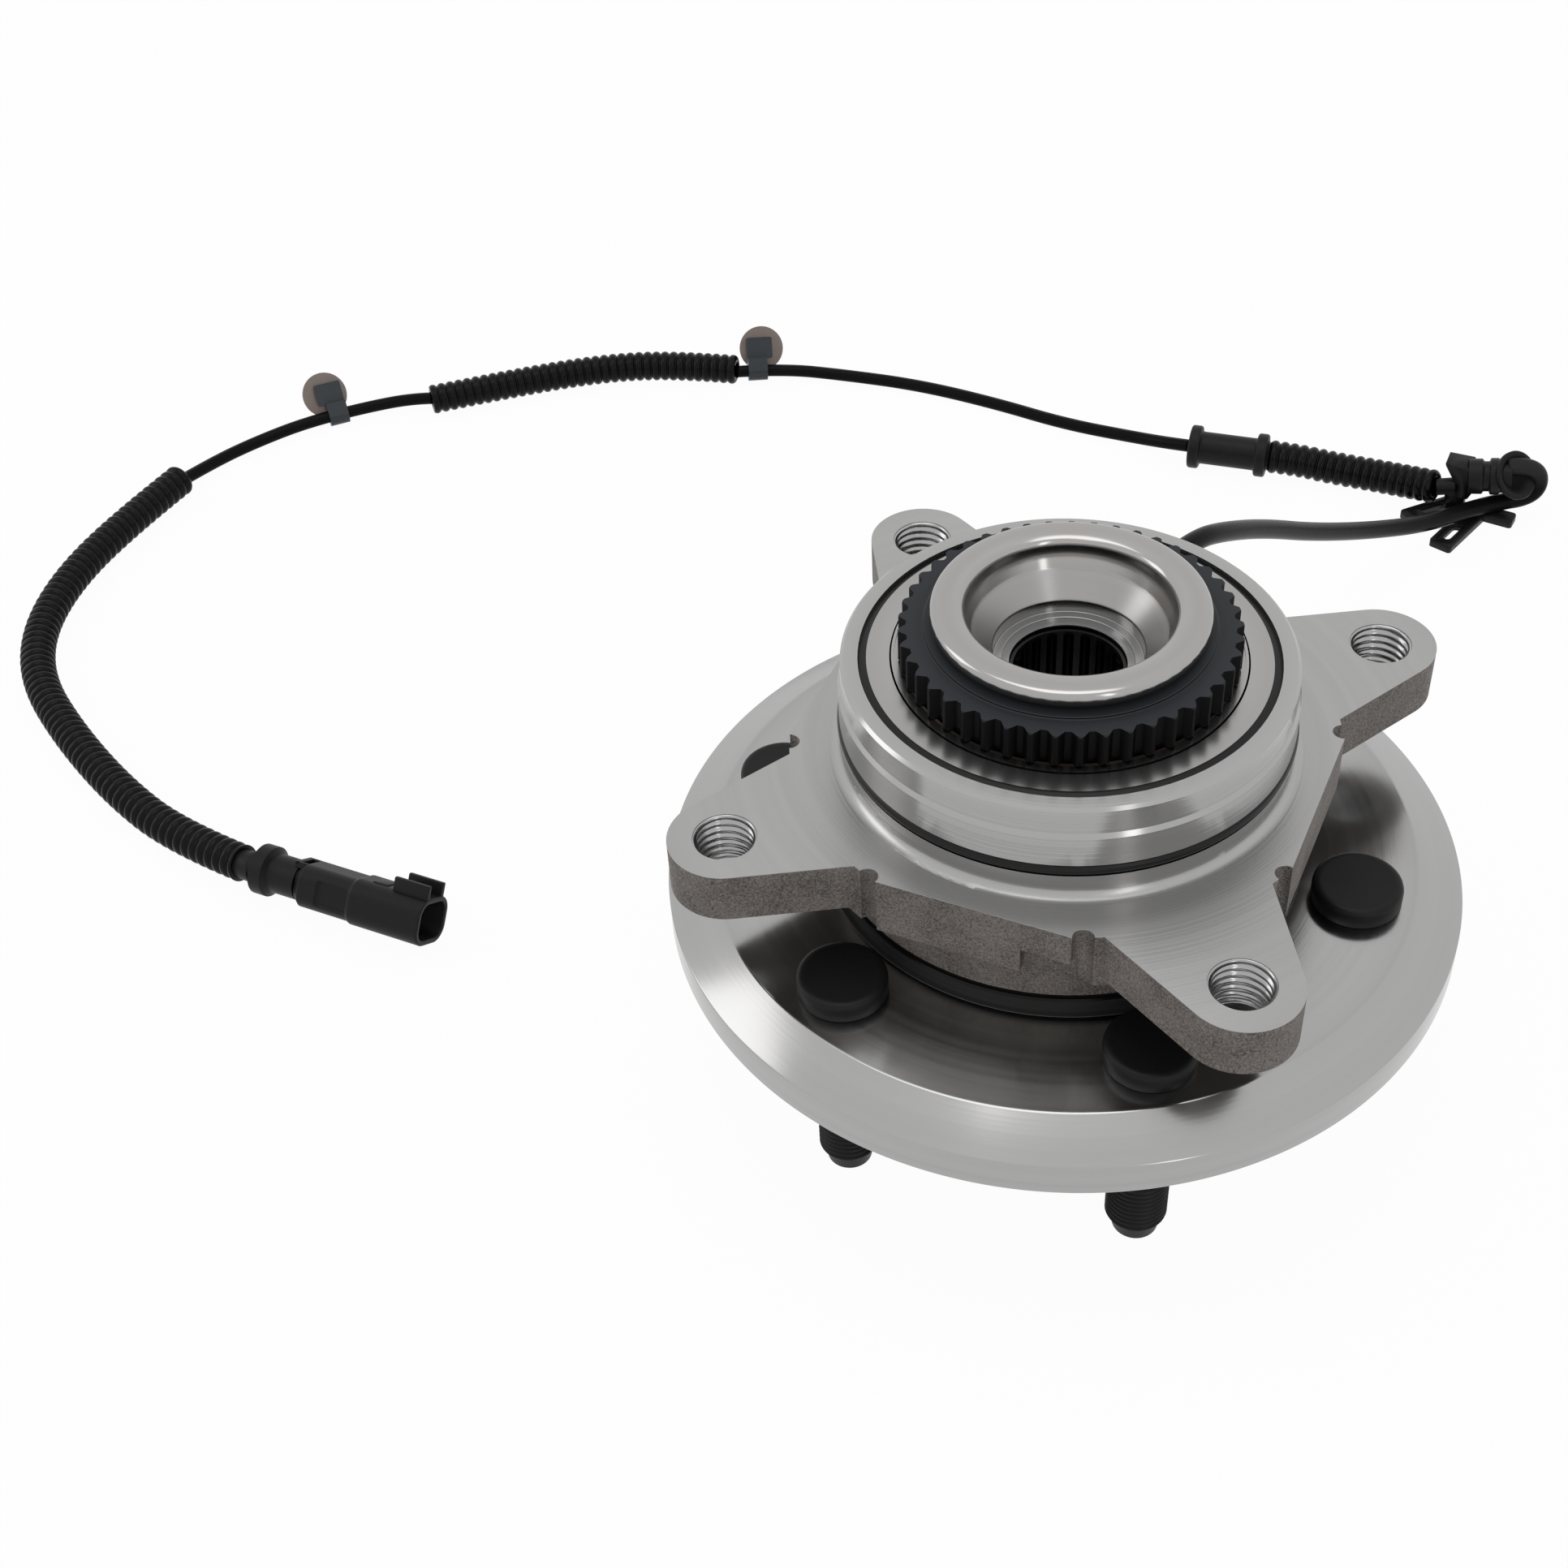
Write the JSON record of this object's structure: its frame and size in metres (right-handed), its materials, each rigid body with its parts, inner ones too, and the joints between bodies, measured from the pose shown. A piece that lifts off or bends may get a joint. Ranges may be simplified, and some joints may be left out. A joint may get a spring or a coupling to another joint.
{
  "type": "wheel hub bearing",
  "caption": "Front wheel hub bearing unit with a studded wheel flange, a bolt-on outer ring with tapered ears, an outside coupling gear and a wheel speed sensor with its lead.",
  "frame": {"origin": "on the wheel's axis, in the plane of the face that the wheel bolts to", "axes": "+Z along the axis, inboard toward the drive shaft, so the wheel studs point along -Z; +Y toward the speed sensor"},
  "size_m": [0.4354, 0.3413, 0.1262],
  "materials": {
    "hub_steel": "turned bare steel",
    "ring_steel": "turned bare steel with cast-looking sides",
    "race_steel": "ground bearing steel",
    "cage_steel": "pressed steel",
    "gear_black": "black phosphated steel",
    "stud_black": "black coated steel",
    "seal_steel": "pressed sheet steel",
    "seal_rubber": "moulded seal rubber",
    "lead_rubber": "smooth black jacket",
    "conduit_plastic": "corrugated black conduit",
    "moulding_plastic": "black moulding",
    "clip_plastic": "dark blue-grey nylon",
    "disc_rubber": "smoky translucent brown",
    "sensor_plastic": "black sensor moulding",
    "screw_steel": "zinc plated",
    "pin_brass": "tinned contact"
  },
  "bodies": {
    "housing": {"outer_ring": "ring_steel", "pilot_o_ring": "seal_rubber", "inboard_seal_case": "seal_steel", "inboard_seal_rubber": "seal_rubber", "inboard_seal_lip": "seal_rubber", "outboard_seal_case": "seal_steel", "outboard_seal_rubber": "seal_rubber", "speed_sensor": "sensor_plastic", "sensor_screw": "screw_steel", "sensor_boot": "lead_rubber", "sensor_lead": "lead_rubber", "short_conduit": "conduit_plastic", "harness_cable": "lead_rubber", "mid_conduit": "conduit_plastic", "link_cable": "lead_rubber", "long_conduit": "conduit_plastic", "cable_bracket": "moulding_plastic", "cable_grommet": "moulding_plastic", "clip_strap_1": "clip_plastic", "clip_disc_1": "disc_rubber", "clip_strap_2": "clip_plastic", "clip_disc_2": "disc_rubber", "connector_boot": "moulding_plastic", "connector_shell": "moulding_plastic", "connector_pins": "pin_brass"},
    "hub": {"wheel_hub": "hub_steel", "inner_race": "race_steel", "coupling_gear": "gear_black", "tone_ring": "cage_steel", "inboard_slinger": "seal_steel", "needle_cup": "race_steel", "wheel_stud_1": "stud_black", "wheel_stud_2": "stud_black", "wheel_stud_3": "stud_black", "wheel_stud_4": "stud_black", "wheel_stud_5": "stud_black", "wheel_stud_6": "stud_black"},
    "outboard_cage": {"outboard_cage": "cage_steel", "outboard_rollers": "race_steel"},
    "inboard_cage": {"inboard_cage": "cage_steel", "inboard_rollers": "race_steel"},
    "needle_cage": {"needle_cage": "cage_steel", "needle_rollers": "race_steel"}
  },
  "joints": [
    {"name": "hub_spin", "type": "hinge", "parent": "housing", "child": "hub", "pos_m": [0, 0, 0], "axis": [0, 0, 1], "continuous": true},
    {"name": "outboard_cage_spin", "type": "hinge", "parent": "housing", "child": "outboard_cage", "pos_m": [0, 0, 0], "axis": [0, 0, 1], "continuous": true},
    {"name": "inboard_cage_spin", "type": "hinge", "parent": "housing", "child": "inboard_cage", "pos_m": [0, 0, 0], "axis": [0, 0, 1], "continuous": true},
    {"name": "needle_cage_spin", "type": "hinge", "parent": "hub", "child": "needle_cage", "pos_m": [0, 0, 0], "axis": [0, 0, 1], "continuous": true}
  ],
  "couplings": [
    {"joint": "outboard_cage_spin", "follows": "hub_spin", "ratio": 0.4513},
    {"joint": "inboard_cage_spin", "follows": "hub_spin", "ratio": 0.4513}
  ]
}
